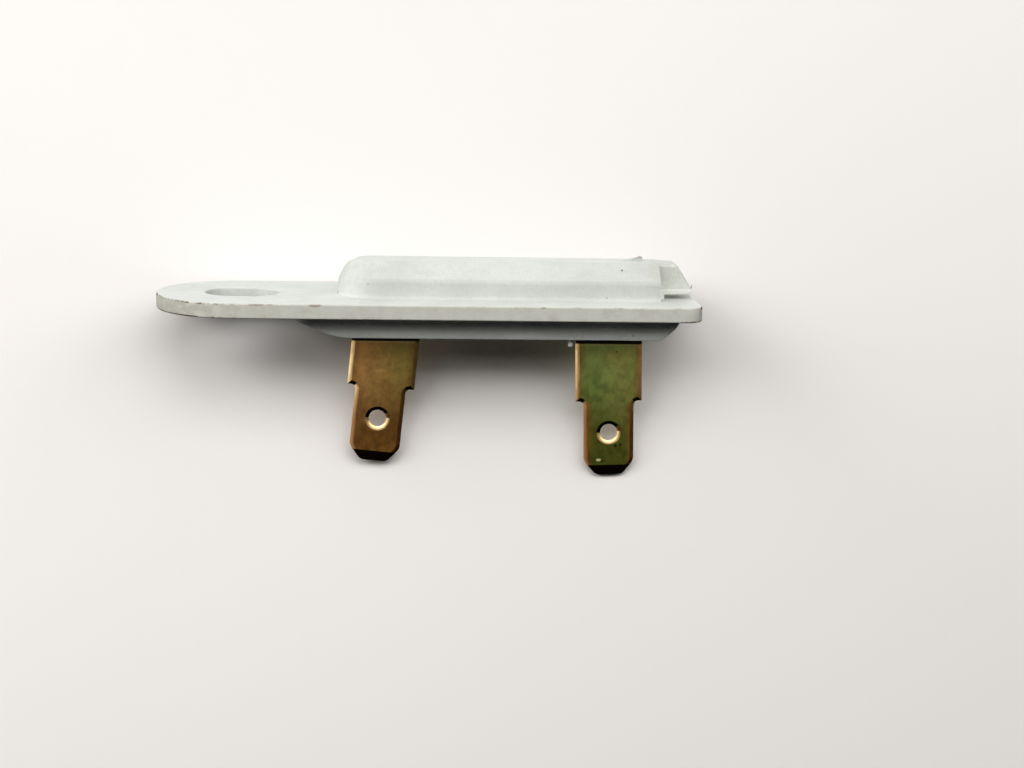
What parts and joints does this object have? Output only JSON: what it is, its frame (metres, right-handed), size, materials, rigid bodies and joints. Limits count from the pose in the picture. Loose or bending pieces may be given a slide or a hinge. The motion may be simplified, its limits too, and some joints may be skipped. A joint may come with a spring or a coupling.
{
  "type": "thermal fuse",
  "caption": "One-shot thermal fuse with a moulded flange, a slotted mounting tab, a raised sensing chamber with a toe hook, and push-on blade terminals.",
  "frame": {"origin": "middle of the mounting slot, on the flange's seat face", "axes": "+Z out of the seat face, the way the sensing chamber points; +X along the flange from the mounting tab to the toe hook; the terminals hang towards -Z"},
  "size_m": [0.0673, 0.0194, 0.0281],
  "materials": {
    "moulding": "satin moulded, slightly soiled at the edges",
    "terminal_brass": "stamped sheet, tarnished",
    "spring_bronze": "rolled strip",
    "contact_silver": "plain",
    "pellet": "pressed, matt"
  },
  "bodies": {
    "root": {"housing": "moulding", "rear_cover": "moulding", "left_terminal": "terminal_brass", "right_terminal": "terminal_brass", "contact_spring": "spring_bronze", "spring_rivet": "terminal_brass", "moving_contact": "contact_silver", "fixed_contact": "contact_silver", "thermal_pellet": "pellet"}
  },
  "joints": []
}
